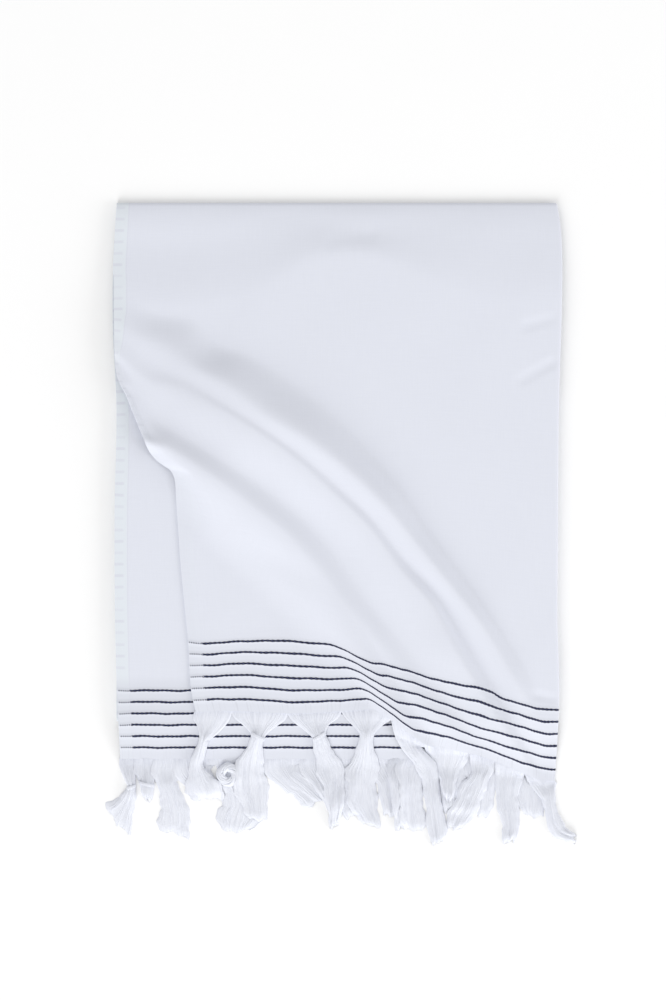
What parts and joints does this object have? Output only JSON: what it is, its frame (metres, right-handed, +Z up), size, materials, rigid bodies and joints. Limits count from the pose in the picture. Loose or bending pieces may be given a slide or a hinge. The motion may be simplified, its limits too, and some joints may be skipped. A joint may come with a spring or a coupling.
{
  "type": "hammam towel",
  "caption": "White flat-woven hammam towel with dark stripes and a knotted fringe, folded in half across and letter-folded, lying flat.",
  "frame": {"origin": "on the floor, under the middle of the whole towel with its fringe", "axes": "+Z up, +Y towards the top fold, away from the fringed end, +X towards the half-width fold"},
  "size_m": [0.5384, 0.735, 0.026],
  "materials": {
    "cotton_cloth": "matte flat-woven cotton, bluish white, with thin dark slate stripes near each end",
    "fringe_yarn": "matte soft cotton yarn, white"
  },
  "bodies": {
    "root": {"towel_cloth": "cotton_cloth", "end_fringe": "fringe_yarn", "tucked_fringe": "fringe_yarn"}
  },
  "joints": []
}
